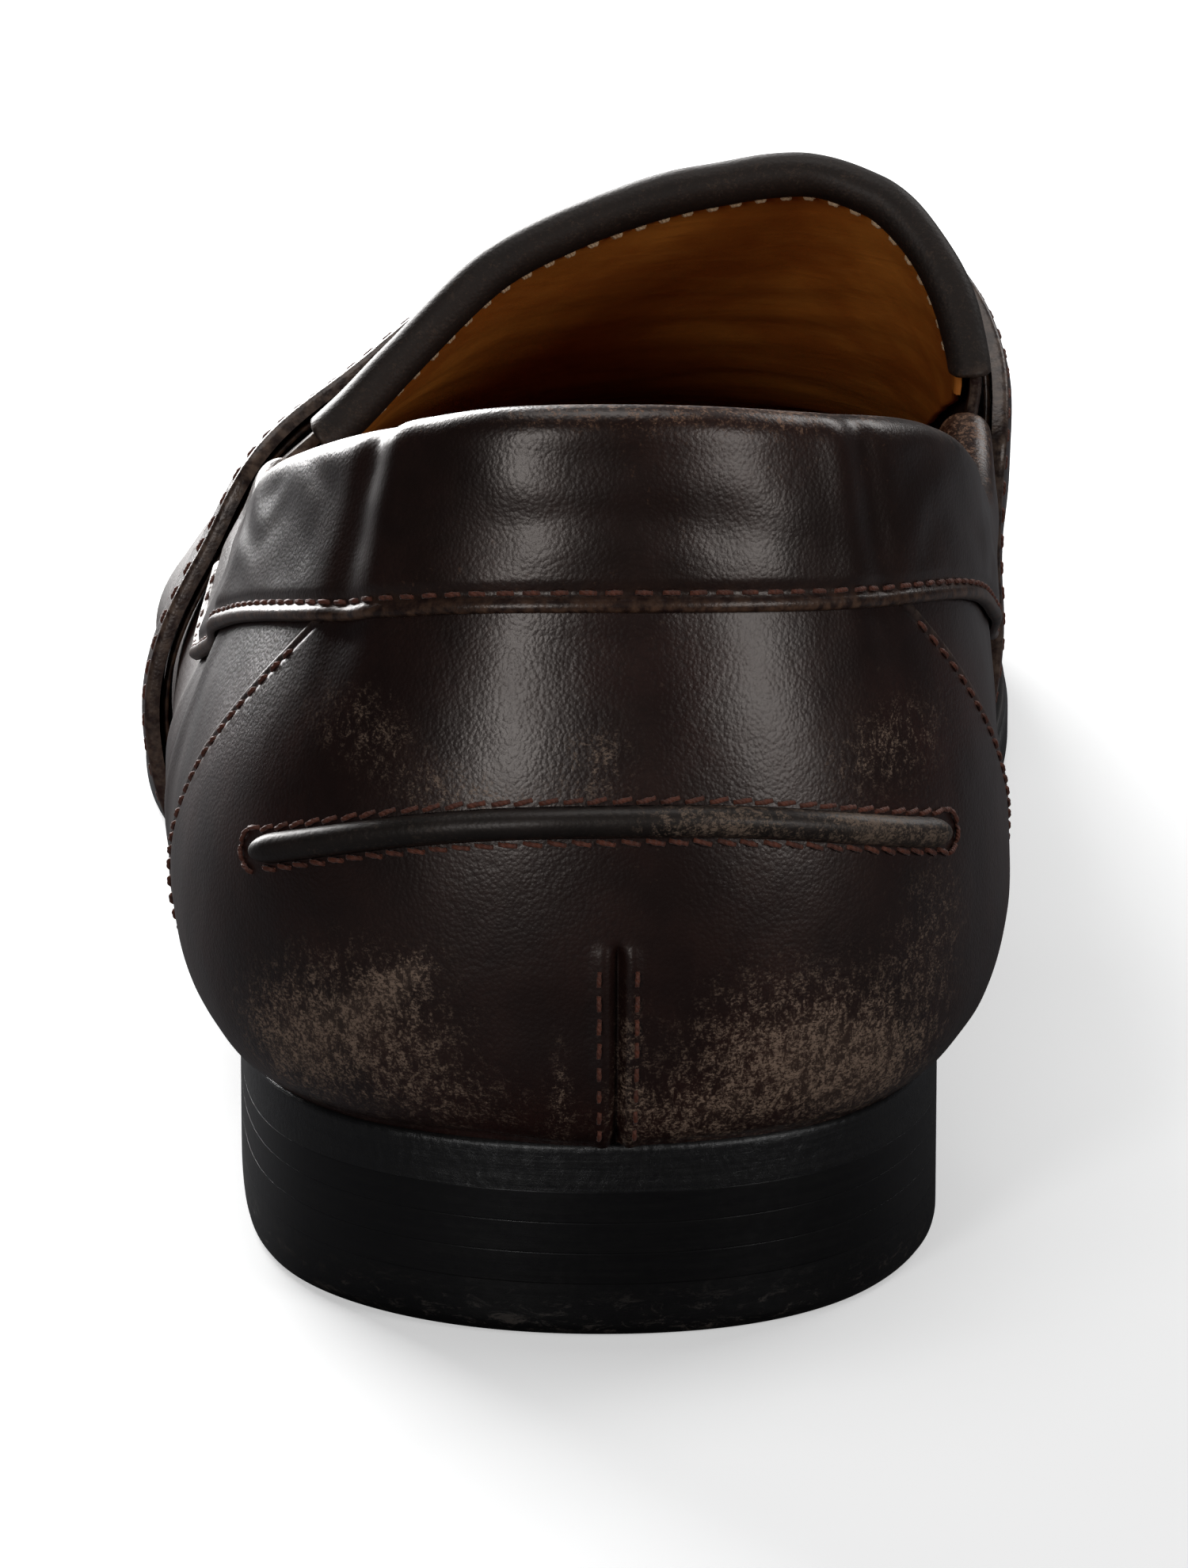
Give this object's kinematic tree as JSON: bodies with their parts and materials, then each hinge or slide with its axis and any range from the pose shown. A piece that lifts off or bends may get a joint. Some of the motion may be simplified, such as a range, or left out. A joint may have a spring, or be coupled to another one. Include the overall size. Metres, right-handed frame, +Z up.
{
  "type": "penny loafer",
  "caption": "Slip-on leather shoe for the left foot, with a slotted saddle strap, a raised apron seam, a folded collar and a stacked heel.",
  "frame": {"origin": "middle of the shoe's bounding box in X and Y, at the ground", "axes": "+Y from heel to toe, +Z up, +X towards the big-toe side"},
  "size_m": [0.095, 0.297, 0.0855],
  "materials": {
    "upper_leather": "polished, fine pebble grain",
    "collar_leather": "polished, worn at the edges",
    "lining_leather": "matt, tan",
    "insole_leather": "matt, undyed",
    "sock_leather": "satin, tan",
    "sole_leather": "satin, oak-bark tan with a dark edge",
    "sole_edge": "waxed edge",
    "heel_leather": "waxed black edge",
    "heel_rubber": "semi-gloss black",
    "stiffener": "resin-stiffened felt",
    "cork": "granulated cork",
    "thread": "waxed, reddish brown",
    "lining_thread": "waxed, pale tan",
    "steel": "plain",
    "brass": "plain"
  },
  "bodies": {
    "root": {"outsole": "sole_leather", "outsole_stitching": "thread", "rand": "sole_edge", "heel_lift_lower": "heel_leather", "heel_lift_middle": "heel_leather", "heel_lift_upper": "heel_leather", "heel_top_piece": "heel_rubber", "heel_nails": "steel", "top_piece_brads": "brass", "shank": "steel", "cork_filler": "cork", "insole": "insole_leather", "sock_liner": "sock_leather", "heel_pad": "sock_leather", "heel_counter_cover": "upper_leather", "quarter_lateral": "upper_leather", "quarter_medial": "upper_leather", "vamp": "upper_leather", "apron": "upper_leather", "counter_stiffener": "stiffener", "toe_puff": "stiffener", "quarter_lining": "lining_leather", "vamp_lining": "lining_leather", "tongue_lining": "lining_leather", "heel_grip": "lining_leather", "topline_collar": "collar_leather", "tongue_binding": "collar_leather", "strap_backing": "upper_leather", "saddle_strap": "upper_leather", "back_bead": "collar_leather", "bead_stitching": "thread", "collar_stitching": "thread", "counter_seam_stitching": "thread", "dart_stitching": "thread", "moc_seam_ridge": "upper_leather", "strap_stitching": "thread", "lining_stitching": "lining_thread"}
  },
  "joints": []
}
